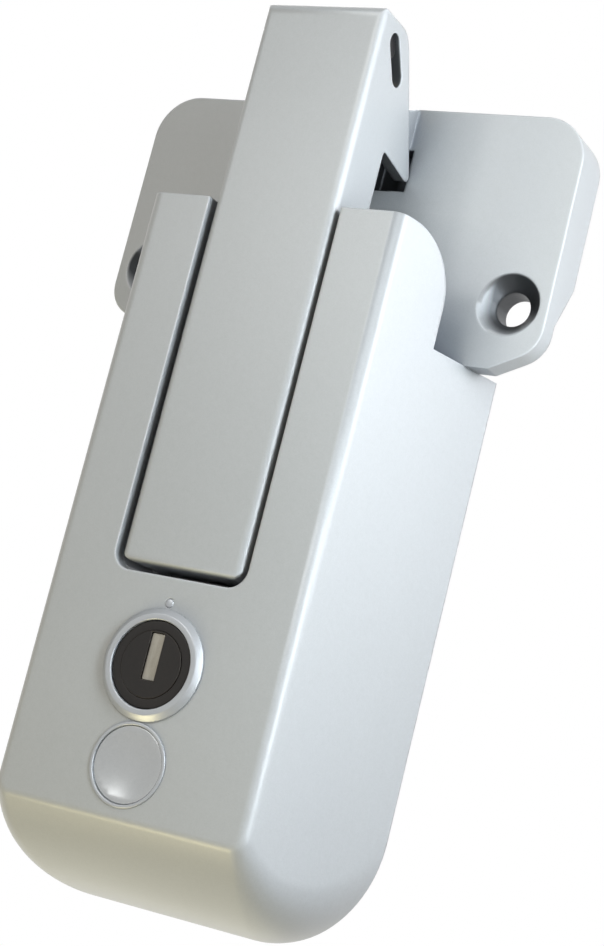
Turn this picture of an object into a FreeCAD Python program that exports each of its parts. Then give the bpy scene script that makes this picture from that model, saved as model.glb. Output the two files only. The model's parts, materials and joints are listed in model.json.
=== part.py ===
import FreeCAD, Part
import math
import os

# Bar lock: a surface-mounted lock body with a flush bar lever, a key cylinder and a push button.
# Millimetres. X runs to the right, Y into the wall and Z up. The origin is the middle of the
# two-screw pattern, on the back of the screw tabs. "Depth" is measured from the front face towards
# the wall, "height" from the ledges beside the lever, at the top of the front face. A "drop" is
# measured downwards from the same ledges.

# Lever
lever_half_width = 13.7
lever_thick = 13.2
lever_toe = 75.1             # drop of the lever's lower end
lever_top = 43.0             # height of the lever's upper end
lever_skin = 2.8
lever_cheek = 2.6
lever_lintel = 2.0           # wall over the nose
lintel_end = 7.6             # depth where the wall over the nose stops
nose_slope_deep = 13.0       # the back of the nose runs this far inwards
nose_slope_fall = 21.7       # while it falls this far
nose_back_top = 10.9         # depth of the slope's start, at the top of the lever
nose_tip_drop = 27.8         # top of the lever down to the nose's tip
nose_heel_drop = 25.6
nose_top_round = 9.0
nose_tip_round = 1.2
nose_front_round = 3.0
toe_corner = 3.0             # lower corners, seen from the front
toe_edge_round = 1.2         # front edge of the lower end
lever_top_corner = 1.8       # upper corners, seen from the front
lever_edge_round = 1.8       # long front edges
lever_rib_pitch = 24.0
lever_rib_count = 3
lever_rib_toe = 25.1         # toe of the lever up to the first cross rib
lever_rib_depth = 10.5

# Cast housing
body_depth = 37.0            # front face to mounting plane
ledge_height = 7.9           # the ledges above the screw axes
front_below = 10.3           # button axis down to the lower edge of the front face
front_half_width = 28.2
side_flare = 16.0            # degrees, how each side wall opens towards the wall
belly_drop = 16.0            # how much lower the underside is at the back
belly_run = 33.0             # depth at which the underside has turned level
front_corner = 4.0           # lower corners of the front face
rear_corner = 21.0           # lower corners at the mounting plane
front_wall = 3.0
side_wall = 3.2
edge_round = 2.6             # long side edges of the front face

# Cradle between the ears and the wing plate
ear_depth = 17.0
ear_round = 13.0
cradle_drop = 21.4           # drop of the cradle's floor
cradle_floor = 3.0

# Wing plate
wing_depth = 26.5            # front face down to the plate
wing_thick = 5.0
wing_half_width = 50.6
wing_top = 32.0
wing_corner = 9.5
tab_bottom = 16.4            # drop of the tabs' underside at its outer end
tab_root = 2.0               # the slanting underside ends this far outside the body
tab_corner = 7.0
tab_root_round = 1.2
lip_wall = 3.0
lip_end = 0.5                # drop of the ends of the turned-back lip
lip_fall = 9.5               # height over which these ends run out
rib_thick = 2.4
rib_place = 20.0

# Screw holes
screw_spacing = 84.0
screw_hole_r = 3.6
countersink_r = 6.7
screw_boss_r = 6.4
screw_boss_gap = 2.0         # bosses end this far in front of the mounting plane

# Channel that the lever lies in
channel_side_gap = 1.3
channel_end_gap = 1.8
channel_under_gap = 1.2
channel_corner = 4.0         # lower corners, seen from the front
channel_wall = 2.6

# Slot and pivot
slot_start_depth = 5.5
slot_below_top = 3.8         # top of the lever down to the slot's start
slot_angle = 52.0            # degrees below the horizontal, towards the wall
slot_length = 11.0
slot_width = 4.2
shoe_length = 5.0
shoe_width = 4.0
shoe_recess = 1.0            # shoes lie this far inside the cheeks
pin_r = 1.6
pin_play = 0.05
sleeve_r = 2.6
lug_half_width = 4.5
lug_end_r = 3.3
lug_knee_depth = 15.5
lug_knee_fall = 14.65        # pin down to the knee of the lug
lug_foot_low = 18.2
lug_foot_high = 25.0
pop_travel = 5.0             # how far the lever rides along its slot

# Ramp behind the nose
ramp_half_width = 12.2
ramp_gap = 1.9
ramp_top_drop = 2.4          # top of the wing plate down to the ramp's front edge
pocket_inner = 5.4           # recesses beside the lug
pocket_outer = 13.2
pocket_low = 13.8
pocket_high = 23.0
pocket_floor = 1.0

# Key cylinder
cylinder_below = 18.9        # lever's toe down to the cylinder axis
barrel_r = 7.9
barrel_end = 22.0
head_r = 8.5
head_proud = 0.9
head_thick = 0.65
ring_r = 10.9
ring_proud = 1.3
ring_bevel = 1.0
spigot_r = 8.6
spigot_end = 2.8
fit_gap = 0.05
loose_gap = 0.1
plug_r = 6.5
plug_proud = 1.0
keyway_width = 3.0
keyway_low = -3.1
keyway_high = 6.1
keyway_end = 18.0
shutter_depth = 1.6
shutter_recess = 0.35
wafer_count = 5
wafer_first = 4.0
wafer_pitch = 3.0
wafer_thick = 1.0
wafer_half_width = 2.6
wafer_half_height = 5.8
wafer_window = 3.4
tang_half = 3.0              # square tang that carries the cam
tang_gap = 0.2               # barrel to cam
cam_screw_head_r = 4.4
cam_screw_head = 1.8
cam_thick = 2.5
cam_length = 27.0
cam_width = 10.0
cam_thread = 2.5             # thread hole in the plug, past the end of the barrel
nut_flats = 20.0
nut_thick = 3.5
index_pin_r = 0.9
index_pin_gap = 1.2          # dot's centre above the escutcheon
index_pin_length = 2.0
index_pin_proud = 0.25

# Push button and ejector
button_below = 19.2          # cylinder axis down to the button axis
bezel_r = 8.2
bezel_lip = 0.3
bezel_sleeve_r = 7.9
bezel_bore_r = 7.5
bezel_end = 5.0
button_r = 7.4
button_thick = 3.4
button_rim = 0.5
dish_depth = 0.9
flange_r = 8.4
flange_thick = 1.2
button_play = 0.3
stem_r = 2.5
stem_end = 20.0
peg_r = 1.4
peg_length = 3.0
fork_front = 8.4
fork_thick = 2.5
fork_leg_inner = 8.6
fork_leg_outer = 13.3
fork_bar = 2.2
tongue_half_width = 6.5
tongue_gap = 0.35            # tongue below the lever at rest
tongue_side_gap = 0.4
wedge_gap = 0.15
foot_gap = 0.1               # feet of the fork above the button's flange
crotch_gap = 0.2             # fork above the barrel
wedge_inner = 10.3
wedge_front = 4.4
wedge_top_run = 1.7
crosshead_end = 11.0
crosshead_half = 2.8
rail_inner = 11.8
rail_outer = 16.2
rail_half_height = 7.0
rail_gap = 0.2
strap_thick = 1.8
strap_inner = 11.0
bracket_half_width = 21.5
bracket_half_height = 3.5
bracket_thick = 2.0
bracket_front = 16.0
post_x = 18.2
post_r = 2.8
spring_r = 2.2
spring_wire = 0.4
spring_turns = 5
spring_steps = 8             # straight pieces in one turn

# Lock hook on the lever
hook_half_width = 3.2
hook_top_rise = 14.1         # rises are measured up from the lever's toe
hook_bottom_rise = 9.1
hook_lip_rise = 4.9
hook_end = 27.3
hook_lip_thick = 2.0
hook_plate_front = 9.8
hook_plate_thick = 2.0
hook_plate_half_width = 9.5
hook_plate_top_rise = 18.6
hook_plate_rise = 3.6
hook_window_half = 4.5
hook_window_top_rise = 19.1
hook_window_rise = 2.1
hook_boss_x = 6.5
hook_boss_rise = 15.6
hook_boss_r = 2.9

# Pads under the lever
pad_inner = 11.2
pad_outer = 14.2
pad_low_rise = 15.1
pad_high_rise = 30.1
pad_corner = 1.0
pad_gap = 0.3
pad_seat = 0.8

# Back cover
cover_thick = 2.5
cover_rebate = 1.2
cover_gap = 0.2
cover_upper_x = 27.0
cover_upper_drop = 9.6       # cradle floor down to the upper screws
cover_middle_x = 30.0
cover_middle_drop = 4.9      # lever's toe down to the middle screws
cover_lower_x = 20.0
cover_lower_rise = 2.5       # lower edge of the front face up to the lower screws
cover_pilot = 8.0
cover_screw_length = 7.0
cover_boss_r = 3.5
cover_screw_r = 1.5
cover_head_r = 2.8

small_screw_r = 0.9
small_head_r = 1.7
small_head = 1.1
small_thread = 4.0           # length of a small screw in its boss
small_pilot = 5.0


# Places that follow from the sizes above
slot_cos = math.cos(math.radians(slot_angle))
slot_sin = math.sin(math.radians(slot_angle))
slot_start_height = lever_top - slot_below_top
pin_reach = shoe_length / 2 + (slot_width - shoe_width) / 2
pin_depth = slot_start_depth + slot_cos * pin_reach
pin_height = slot_start_height - slot_sin * pin_reach
button_travel = pop_travel * slot_sin
cylinder_height = -lever_toe - cylinder_below
button_height = cylinder_height - button_below
index_height = cylinder_height + ring_r + index_pin_gap
front_length = front_below - button_height
fork_foot = button_height + flange_r + foot_gap         # front corner of the fork's feet at rest
wedge_line = fork_foot + fork_front - 2 * wedge_gap     # depth plus height along the wedge's face
channel_half = lever_half_width + channel_side_gap
channel_end = -lever_toe - channel_end_gap
channel_depth = lever_thick + channel_under_gap
channel_back = channel_depth + channel_wall
cavity_top = -cradle_drop - cradle_floor
cover_front = body_depth - cover_thick
wing_back = wing_depth + wing_thick
cheek_inner = lever_half_width - lever_cheek
hook_boss_height = hook_boss_rise - lever_toe
cover_screws = ((cover_upper_x, -cradle_drop - cover_upper_drop),
                (cover_middle_x, -lever_toe - cover_middle_drop),
                (cover_lower_x, cover_lower_rise - front_length))


def vec(x, depth, height):
    """Point of the part from its side, its depth behind the front face and its height over the ledge."""
    return FreeCAD.Vector(x, depth - wing_back, height + ledge_height)


def at_depth(edge, depth):
    return abs(edge.CenterOfMass.y - vec(0, depth, 0).y) < 0.01


def block(x0, x1, d0, d1, h0, h1):
    return Part.makeBox(x1 - x0, d1 - d0, h1 - h0, vec(x0, d0, h0))


def pair(shape):
    """The shape and its mirror image on the other side."""
    twin = shape.mirror(FreeCAD.Vector(0, 0, 0), FreeCAD.Vector(1, 0, 0))
    return [shape, twin]


def rod_y(radius, x, height, d0, d1):
    return Part.makeCylinder(radius, d1 - d0, vec(x, d0, height), FreeCAD.Vector(0, 1, 0))


def rod_x(radius, depth, height, x0, x1):
    return Part.makeCylinder(radius, x1 - x0, vec(x0, depth, height), FreeCAD.Vector(1, 0, 0))


def cone_y(r0, r1, x, height, d0, d1):
    return Part.makeCone(r0, r1, d1 - d0, vec(x, d0, height), FreeCAD.Vector(0, 1, 0))


def rounded_wire(corners, place):
    """Closed wire through corners (u, v, radius), each rounded by a tangent arc of its radius."""
    runs = []
    for index, (u, v, radius) in enumerate(corners):
        back = corners[index - 1]
        ahead = corners[(index + 1) % len(corners)]
        length_a = math.hypot(back[0] - u, back[1] - v)
        length_b = math.hypot(ahead[0] - u, ahead[1] - v)
        a = ((back[0] - u) / length_a, (back[1] - v) / length_a)
        b = ((ahead[0] - u) / length_b, (ahead[1] - v) / length_b)
        if radius == 0:
            runs.append((place(u, v),))
            continue
        half = math.acos(max(-1.0, min(1.0, a[0] * b[0] + a[1] * b[1]))) / 2
        reach = radius / math.tan(half)
        size = math.hypot(a[0] + b[0], a[1] + b[1])
        middle = ((a[0] + b[0]) / size, (a[1] + b[1]) / size)
        far = radius / math.sin(half) - radius
        start = place(u + a[0] * reach, v + a[1] * reach)
        crown = place(u + middle[0] * far, v + middle[1] * far)
        end = place(u + b[0] * reach, v + b[1] * reach)
        runs.append((start, crown, end))
    edges = []
    for index, run in enumerate(runs):
        if len(run) == 3:
            edges.append(Part.Arc(*run).toShape())
        following = runs[(index + 1) % len(runs)][0]
        if run[-1].distanceToPoint(following) > 1e-6:
            edges.append(Part.LineSegment(run[-1], following).toShape())
    return Part.Wire(edges)


def side_profile(corners, x0, x1):
    """Solid with a side outline of (depth, height, radius) corners, from x0 to x1."""
    wire = rounded_wire(corners, lambda depth, height: vec(x0, depth, height))
    return Part.Face(wire).extrude(FreeCAD.Vector(x1 - x0, 0, 0))


def front_profile(corners, d0, d1):
    """Solid with a front outline of (x, height, radius) corners, from depth d0 to d1."""
    wire = rounded_wire(corners, lambda x, height: vec(x, d0, height))
    return Part.Face(wire).extrude(FreeCAD.Vector(0, d1 - d0, 0))


def plan_profile(corners, h0, h1):
    """Solid with a plan outline of (x, depth, radius) corners, from height h0 to h1."""
    wire = rounded_wire(corners, lambda x, depth: vec(x, depth, h0))
    return Part.Face(wire).extrude(FreeCAD.Vector(0, 0, h1 - h0))


def edges_where(shape, test):
    return [edge for edge in shape.Edges if test(edge)]


def one_solid(shape):
    """The single solid of a finished cut or fuse."""
    return shape.removeSplitter().Solids[0]


def half_width(depth):
    return front_half_width + math.tan(math.radians(side_flare)) * depth


def belly(depth):
    """Drop of the underside below the ledge: an arc that is level at belly_run."""
    radius = (belly_run ** 2 + belly_drop ** 2) / (2 * belly_drop)
    return front_length + belly_drop - radius + math.sqrt(radius ** 2 - (belly_run - depth) ** 2)


def corner_radius(depth):
    return front_corner + (rear_corner - front_corner) * depth / body_depth


def body_slice(d0, d1, inset, top):
    """Body between two depths, drawn in by inset: flared sides, arched underside, round corners."""
    back = body_depth + 2
    low = -belly(belly_run) - 1
    a, b = half_width(0) - inset, half_width(back) - inset
    ends = [vec(-a, 0, low), vec(a, 0, low), vec(b, back, low), vec(-b, back, low), vec(-a, 0, low)]
    solid = Part.Face(Part.makePolygon(ends)).extrude(FreeCAD.Vector(0, 0, 1 - low))
    points = [vec(0, depth, inset - belly(depth)) for depth in (0, back / 2, back)]
    upper = [vec(0, back, 0), vec(0, 0, 0)]
    wire = Part.Wire([Part.Arc(*points).toShape(), Part.makeLine(points[2], upper[0]),
                      Part.makeLine(*upper), Part.makeLine(upper[1], points[0])])
    wire.translate(FreeCAD.Vector(-2 * b, 0, 0))
    solid = solid.common(Part.Face(wire).extrude(FreeCAD.Vector(4 * b, 0, 0))).Solids[0]
    for side in (-1, 1):
        rim = edges_where(solid, lambda e: e.CenterOfMass.x * side > a / 2 and len(e.Vertexes) == 2
                          and e.BoundBox.YLength > 0.9 * back
                          and e.CenterOfMass.z < -front_length / 2)[:1]
        radii = [corner_radius(0) - inset, corner_radius(back) - inset]
        if rim[0].firstVertex(True).Point.y > rim[0].lastVertex(True).Point.y:
            radii.reverse()
        solid = solid.makeFillet(radii[0], radii[1], rim)
    return solid.common(block(-b, b, d0, d1, low - 1, top)).Solids[0]


def nose_depth(height):
    """Depth of the nose's sloping back at a height."""
    return nose_back_top + (lever_top - height) * nose_slope_deep / nose_slope_fall


def capsule(length, width, reach, x0, x1):
    """Round-ended bar along the slot's direction, centred at reach from the slot's start."""
    straight = length - width
    centre_depth = slot_start_depth + slot_cos * reach
    centre_height = slot_start_height - slot_sin * reach
    bar = Part.makeBox(x1 - x0, straight, width, FreeCAD.Vector(x0, -straight / 2, -width / 2))
    for end in (-straight / 2, straight / 2):
        origin = FreeCAD.Vector(x0, end, 0)
        bar = bar.fuse(Part.makeCylinder(width / 2, x1 - x0, origin, FreeCAD.Vector(1, 0, 0)))
    bar = bar.removeSplitter()
    bar.rotate(FreeCAD.Vector(0, 0, 0), FreeCAD.Vector(1, 0, 0), -slot_angle)
    bar.translate(vec(0, centre_depth, centre_height))
    return bar


def screw_places():
    return ((-screw_spacing / 2, -ledge_height), (screw_spacing / 2, -ledge_height))


def wing_plate():
    """Plate with round shoulders, bossed screw tabs, a lip turned back round its top, and the nose ramp."""
    root = half_width(body_depth) + tab_root
    outline = [
        (-wing_half_width, wing_top, wing_corner),
        (-wing_half_width, -tab_bottom, tab_corner),
        (-root, -cradle_drop, tab_root_round),
        (root, -cradle_drop, tab_root_round),
        (wing_half_width, -tab_bottom, tab_corner),
        (wing_half_width, wing_top, wing_corner),
    ]
    plate = front_profile(outline, wing_depth, wing_back)
    rim = [(-wing_half_width, wing_top, wing_corner), (-wing_half_width, -tab_bottom, 0),
           (wing_half_width, -tab_bottom, 0), (wing_half_width, wing_top, wing_corner)]
    inner_x = wing_half_width - lip_wall
    inner_round = wing_corner - lip_wall
    hollow = [(-inner_x, wing_top - lip_wall, inner_round), (-inner_x, -tab_bottom - 1, 0),
              (inner_x, -tab_bottom - 1, 0), (inner_x, wing_top - lip_wall, inner_round)]
    lip = front_profile(rim, wing_back, body_depth)
    lip = lip.cut(front_profile(hollow, wing_back, body_depth))
    keep = [(wing_back, -lip_end - lip_fall, 0), (body_depth, -lip_end, 0),
            (body_depth, wing_top, 0), (wing_back, wing_top, 0)]
    lip = lip.common(side_profile(keep, -wing_half_width, wing_half_width))
    rib = block(rib_place - rib_thick / 2, rib_place + rib_thick / 2,
                wing_back, body_depth, -cradle_drop, wing_top - lip_wall)
    boss_end = body_depth - screw_boss_gap
    bosses = [rod_y(screw_boss_r, x, height, wing_depth + 1, boss_end) for x, height in screw_places()]
    plate = plate.fuse([lip, nose_ramp()] + bosses + pair(rib))
    cuts = pair(block(pocket_inner, pocket_outer, 0, wing_back - pocket_floor, pocket_low, pocket_high))
    cuts.append(lug_neck())
    for x, height in screw_places():
        sink = countersink_r - screw_hole_r
        cuts.append(rod_y(screw_hole_r, x, height, wing_depth - 1, boss_end + 1))
        cuts.append(cone_y(countersink_r, screw_hole_r, x, height, wing_depth, wing_depth + sink))
    return one_solid(plate.cut(cuts))


def nose_ramp():
    """Block on the wing plate whose front follows the back of the lever's nose."""
    shift = ramp_gap * math.hypot(nose_slope_deep, nose_slope_fall) / nose_slope_fall
    front_height = wing_top - ramp_top_drop
    front_depth = nose_depth(front_height) + shift
    foot_height = front_height - (wing_depth - front_depth) * nose_slope_fall / nose_slope_deep
    corners = [(front_depth, front_height, 1.0), (wing_depth, foot_height, 0),
               (wing_back, foot_height, 0), (wing_back, wing_top, 0), (wing_depth, wing_top, 0)]
    return side_profile(corners, -ramp_half_width, ramp_half_width)


def lug_neck():
    run = lug_knee_depth - pin_depth
    size = math.hypot(run, lug_knee_fall)
    off_depth = lug_knee_fall / size * (lug_end_r - 0.3)
    off_height = run / size * (lug_end_r - 0.3)
    corners = [
        (pin_depth + off_depth, pin_height + off_height, 0),
        (lug_knee_depth + off_depth + 0.6, lug_foot_high, 2.0),
        (wing_back, lug_foot_high, 0),
        (wing_back, lug_foot_low, 0),
        (lug_knee_depth - off_depth + 1.4, lug_foot_low, 2.0),
        (pin_depth - off_depth, pin_height - off_height, 0),
    ]
    return side_profile(corners, -lug_half_width, lug_half_width)


def pivot_lug():
    """Goose neck from the wing plate into the nose, with an eye for the pivot pin."""
    eye = rod_x(lug_end_r, pin_depth, pin_height, -lug_half_width, lug_half_width)
    bore = rod_x(pin_r + pin_play, pin_depth, pin_height, -lug_half_width - 1, lug_half_width + 1)
    return one_solid(lug_neck().fuse(eye).cut(bore))


def channel_space(front, top):
    """Space that the lever lies in, round at its lower corners."""
    corners = [(-channel_half, channel_end, channel_corner), (channel_half, channel_end, channel_corner),
               (channel_half, top, 0), (-channel_half, top, 0)]
    return front_profile(corners, front, channel_depth)


def lever_channel():
    """Pan behind the front wall that the lower part of the lever lies in."""
    side = channel_half + channel_wall
    pan = block(-side, side, front_wall, channel_back, channel_end - channel_wall, cavity_top)
    cuts = [channel_space(0, 0)]
    slot = tongue_half_width + tongue_side_gap
    cuts.append(block(-slot, slot, fork_front - tongue_side_gap,
                      fork_front + fork_thick + tongue_side_gap,
                      channel_end - channel_wall - 1, channel_end + 1))
    cuts.append(block(-hook_window_half, hook_window_half, channel_depth - 1, channel_back + 1,
                      hook_window_rise - lever_toe, hook_window_top_rise - lever_toe))
    cuts += pair(block(pad_inner, pad_outer, channel_depth - 1, channel_depth + pad_seat,
                       pad_low_rise - lever_toe, pad_high_rise - lever_toe))
    return one_solid(pan.cut(cuts))


def housing():
    """Cast body: front wall, flared sides, arched underside, ears and the floor of the cradle."""
    body = body_slice(0.0, body_depth, 0.0, 0.0)
    over = [(ear_depth, 1.0, 0), (body_depth + 1, 1.0, 0),
            (body_depth + 1, -cradle_drop, 0), (ear_depth, -cradle_drop, 0)]
    wide = half_width(body_depth) + 1
    body = body.cut(side_profile(over, -wide, wide))
    corner = edges_where(body, lambda e: at_depth(e, ear_depth)
                         and abs(e.CenterOfMass.z - ledge_height) < 0.01)
    body = body.makeFillet(ear_round, corner)
    long_edges = edges_where(body, lambda e: at_depth(e, 0) and e.Length > front_length / 2)
    body = body.makeFillet(edge_round, long_edges)
    cavity = body_slice(front_wall, body_depth + 1, side_wall, cavity_top)
    body = body.cut(cavity).fuse(housing_bosses())
    return one_solid(body.cut(housing_cuts()))


def housing_bosses():
    """Screw bosses of the cover, ejector rails and the posts of the button bracket."""
    parts = []
    for side, height in cover_screws:
        parts += pair(rod_y(cover_boss_r, side, height, front_wall / 2, cover_front))
    for inner, end in ((rail_inner, fork_front - rail_gap),
                       (fork_leg_outer + rail_gap, fork_front + fork_thick + rail_gap)):
        rail = block(inner, rail_outer, front_wall / 2, end,
                     cylinder_height - rail_half_height, cylinder_height + rail_half_height)
        parts += pair(rail)
    parts += pair(rod_y(post_r, post_x, button_height, front_wall / 2, bracket_front))
    keep = body_slice(0.0, body_depth, side_wall / 2, -cradle_drop)
    return [part.common(keep) for part in parts]


def housing_cuts():
    """Lever channel between the ears, and the holes and recesses of the walls."""
    cuts = [channel_space(-1, 1)]
    cuts.append(rod_y(spigot_r + fit_gap, 0, cylinder_height, -1, front_wall + 1))
    cuts.append(rod_y(bezel_sleeve_r + fit_gap, 0, button_height, -1, front_wall + 1))
    cuts.append(rod_y(index_pin_r, 0, index_height, -1, index_pin_length - index_pin_proud))
    cuts.append(body_slice(cover_front, body_depth + 0.01, side_wall - cover_rebate,
                           cavity_top + cover_rebate))
    for side, height in cover_screws:
        cuts += pair(rod_y(cover_screw_r - 0.2, side, height, cover_front - cover_pilot, cover_front + 1))
    for x, height in strap_screw_places():
        top = fork_front + fork_thick + rail_gap
        cuts += pair(rod_y(small_screw_r, x, height, top - small_pilot, top + 1))
    cuts += pair(rod_y(small_screw_r, post_x, button_height, bracket_front - small_pilot,
                       bracket_front + 1))
    return cuts


def back_cover():
    """Flat lid in the rebate at the back, with a peg for the button spring."""
    inset = side_wall - cover_rebate + cover_gap
    top = cavity_top + cover_rebate - cover_gap
    lid = body_slice(cover_front, body_depth, inset, top)
    lid = lid.fuse(rod_y(peg_r, 0, button_height, cover_front - peg_length, cover_front + 1))
    holes = []
    sink = cover_head_r - cover_screw_r
    for side, height in cover_screws:
        holes += pair(rod_y(cover_screw_r + fit_gap, side, height, cover_front - 1, body_depth + 1))
        holes += pair(cone_y(cover_screw_r + fit_gap, cover_head_r + fit_gap, side, height,
                             body_depth - sink, body_depth))
    return one_solid(lid.cut(holes))


def cover_screw_group():
    """Six countersunk screws."""
    screws = []
    sink = cover_head_r - cover_screw_r
    radius = cover_screw_r - 0.25
    for side, height in cover_screws:
        shank = rod_y(radius, side, height, cover_front - cover_screw_length, body_depth - sink)
        head = cone_y(radius, cover_head_r - 0.1, side, height, body_depth - sink - 0.1,
                      body_depth - 0.1)
        screws += pair(one_solid(shank.fuse(head)))
    return Part.makeCompound(screws)


def lever():
    """Bar with a wedge-shaped nose, hollow from the back, slotted cheeks and cross ribs."""
    tip_height = lever_top - nose_tip_drop
    tip_depth = nose_depth(tip_height) - 0.3
    outline = [
        (0, -lever_toe, toe_edge_round),
        (0, lever_top, nose_front_round),
        (nose_back_top, lever_top, nose_top_round),
        (tip_depth, tip_height, nose_tip_round),
        (lever_thick, lever_top - nose_heel_drop, 1.0),
        (lever_thick, -lever_toe, 0),
    ]
    bar = side_profile(outline, -lever_half_width, lever_half_width)
    frame = [(-lever_half_width, -lever_toe, toe_corner), (lever_half_width, -lever_toe, toe_corner),
             (lever_half_width, lever_top, lever_top_corner),
             (-lever_half_width, lever_top, lever_top_corner)]
    bar = bar.common(front_profile(frame, -1, tip_depth + 1))
    section = [(-lever_half_width, 0, lever_edge_round), (lever_half_width, 0, lever_edge_round),
               (lever_half_width, tip_depth + 1, 0), (-lever_half_width, tip_depth + 1, 0)]
    bar = bar.common(plan_profile(section, -lever_toe - 1, lever_top + 1))
    hollow = [
        (lever_skin, lever_skin - lever_toe, 0),
        (lever_skin, lever_top - lever_lintel, 1.5),
        (lintel_end, lever_top - lever_lintel, 0),
        (lintel_end, lever_top + 1, 0),
        (tip_depth + 1, lever_top + 1, 0),
        (tip_depth + 1, lever_skin - lever_toe, 0),
    ]
    bar = bar.cut(side_profile(hollow, -cheek_inner, cheek_inner))
    first = lever_rib_toe - lever_toe
    parts = []
    for index in range(lever_rib_count):
        level = first + lever_rib_pitch * index
        parts.append(block(-cheek_inner, cheek_inner, lever_skin / 2, lever_rib_depth,
                           level - rib_thick / 2, level + rib_thick / 2))
    parts.append(block(-rib_thick / 2, rib_thick / 2, lever_skin / 2, lever_rib_depth,
                       hook_plate_top_rise - lever_toe, first + lever_rib_pitch * (lever_rib_count - 1)))
    parts += pair(rod_y(hook_boss_r, hook_boss_x, hook_boss_height, lever_skin / 2, hook_plate_front))
    bar = bar.fuse(parts)
    slot = capsule(slot_length, slot_width, slot_length / 2, -lever_half_width - 1, lever_half_width + 1)
    pilots = pair(rod_y(small_screw_r, hook_boss_x, hook_boss_height, hook_plate_front - small_pilot,
                        hook_plate_front + 1))
    return one_solid(bar.cut([slot] + pilots))


def lock_hook():
    """Steel hook screwed into the lever; its lip reaches through the channel floor."""
    plate_end = hook_plate_front + hook_plate_thick
    low = hook_plate_rise - lever_toe
    high = hook_plate_top_rise - lever_toe
    plate = front_profile([(-hook_plate_half_width, low, 1.5), (hook_plate_half_width, low, 1.5),
                           (hook_plate_half_width, high, 1.5), (-hook_plate_half_width, high, 1.5)],
                          hook_plate_front, plate_end)
    top = hook_top_rise - lever_toe
    bottom = hook_bottom_rise - lever_toe
    lip = hook_lip_rise - lever_toe
    tail = side_profile([(plate_end - 0.5, top, 0), (hook_end, top, 1.5), (hook_end, lip, 0.6),
                         (hook_end - hook_lip_thick, lip, 0.6), (hook_end - hook_lip_thick, bottom, 0.4),
                         (plate_end - 0.5, bottom, 0)], -hook_half_width, hook_half_width)
    holes = pair(rod_y(small_screw_r + loose_gap, hook_boss_x, hook_boss_height,
                       hook_plate_front - 1, plate_end + 1))
    return one_solid(plate.fuse(tail).cut(holes))


def small_screw(x, height, seat, length):
    """Small screw whose head sits on seat, behind it."""
    shank = rod_y(small_screw_r - loose_gap, x, height, seat - length, seat + small_head / 2)
    return one_solid(shank.fuse(rod_y(small_head_r, x, height, seat, seat + small_head)))


def hook_screw_group():
    seat = hook_plate_front + hook_plate_thick
    length = hook_plate_thick + small_thread
    return Part.makeCompound(pair(small_screw(hook_boss_x, hook_boss_height, seat, length)))


def pivot_pin():
    end = lever_half_width - shoe_recess - 0.3
    return rod_x(pin_r, pin_depth, pin_height, -end, end)


def slide_shoe_group():
    """Round-ended shoes on the ends of the pin, which run in the slots of the cheeks."""
    inner = cheek_inner - 0.2
    outer = lever_half_width - shoe_recess
    shoe = capsule(shoe_length, shoe_width, pin_reach, inner, outer)
    bore = rod_x(pin_r + 0.02, pin_depth, pin_height, inner - 1, outer - 0.3)
    return Part.makeCompound(pair(one_solid(shoe.cut(bore))))


def pivot_sleeve_group():
    """Spacer sleeves on the pin, between the lug and the shoes."""
    inner = lug_half_width + loose_gap
    outer = cheek_inner - 0.3
    tube = rod_x(sleeve_r, pin_depth, pin_height, inner, outer)
    bore = rod_x(pin_r + 0.02, pin_depth, pin_height, inner - 1, outer + 1)
    return Part.makeCompound(pair(tube.cut(bore)))


def lever_pad_group():
    """Rubber pads let into the channel floor, under the cheeks of the lever."""
    low = pad_low_rise - lever_toe
    high = pad_high_rise - lever_toe
    pad = front_profile([(pad_inner, low, pad_corner), (pad_outer, low, pad_corner),
                         (pad_outer, high, pad_corner), (pad_inner, high, pad_corner)],
                        lever_thick + pad_gap, channel_depth + pad_seat)
    return Part.makeCompound(pair(pad))


def escutcheon_ring():
    """Bevelled ring round the cylinder, with a spigot in the front wall and a recess for the head."""
    axis_height = cylinder_height
    ring = rod_y(ring_r, 0, axis_height, -ring_proud + ring_bevel, 0)
    bevel = cone_y(ring_r - ring_bevel, ring_r, 0, axis_height, -ring_proud, -ring_proud + ring_bevel)
    spigot = rod_y(spigot_r, 0, axis_height, 0, spigot_end)
    ring = ring.fuse([bevel, spigot])
    bore = rod_y(barrel_r + loose_gap, 0, axis_height, -ring_proud - 1, spigot_end + 1)
    recess = rod_y(head_r + loose_gap, 0, axis_height, -ring_proud - 1, head_thick - head_proud)
    return one_solid(ring.cut([bore, recess]))


def cylinder_body():
    """Barrel with a thin round head, bored for the plug."""
    height = cylinder_height
    barrel = rod_y(barrel_r, 0, height, -head_proud, barrel_end)
    head = rod_y(head_r, 0, height, -head_proud, head_thick - head_proud)
    bore = rod_y(plug_r + fit_gap, 0, height, -plug_proud - 1, barrel_end + 1)
    return one_solid(barrel.fuse(head).cut(bore))


def cylinder_nut():
    corner = nut_flats / math.sqrt(3)
    points = []
    for index in range(6):
        angle = math.radians(60 * index)
        points.append((corner * math.cos(angle), corner * math.sin(angle) + cylinder_height, 0))
    nut = front_profile(points, front_wall, front_wall + nut_thick)
    return one_solid(nut.cut(rod_y(barrel_r + fit_gap, 0, cylinder_height, 0, front_wall + nut_thick + 1)))


def wafer_places():
    return [wafer_first + wafer_pitch * index for index in range(wafer_count)]


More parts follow.
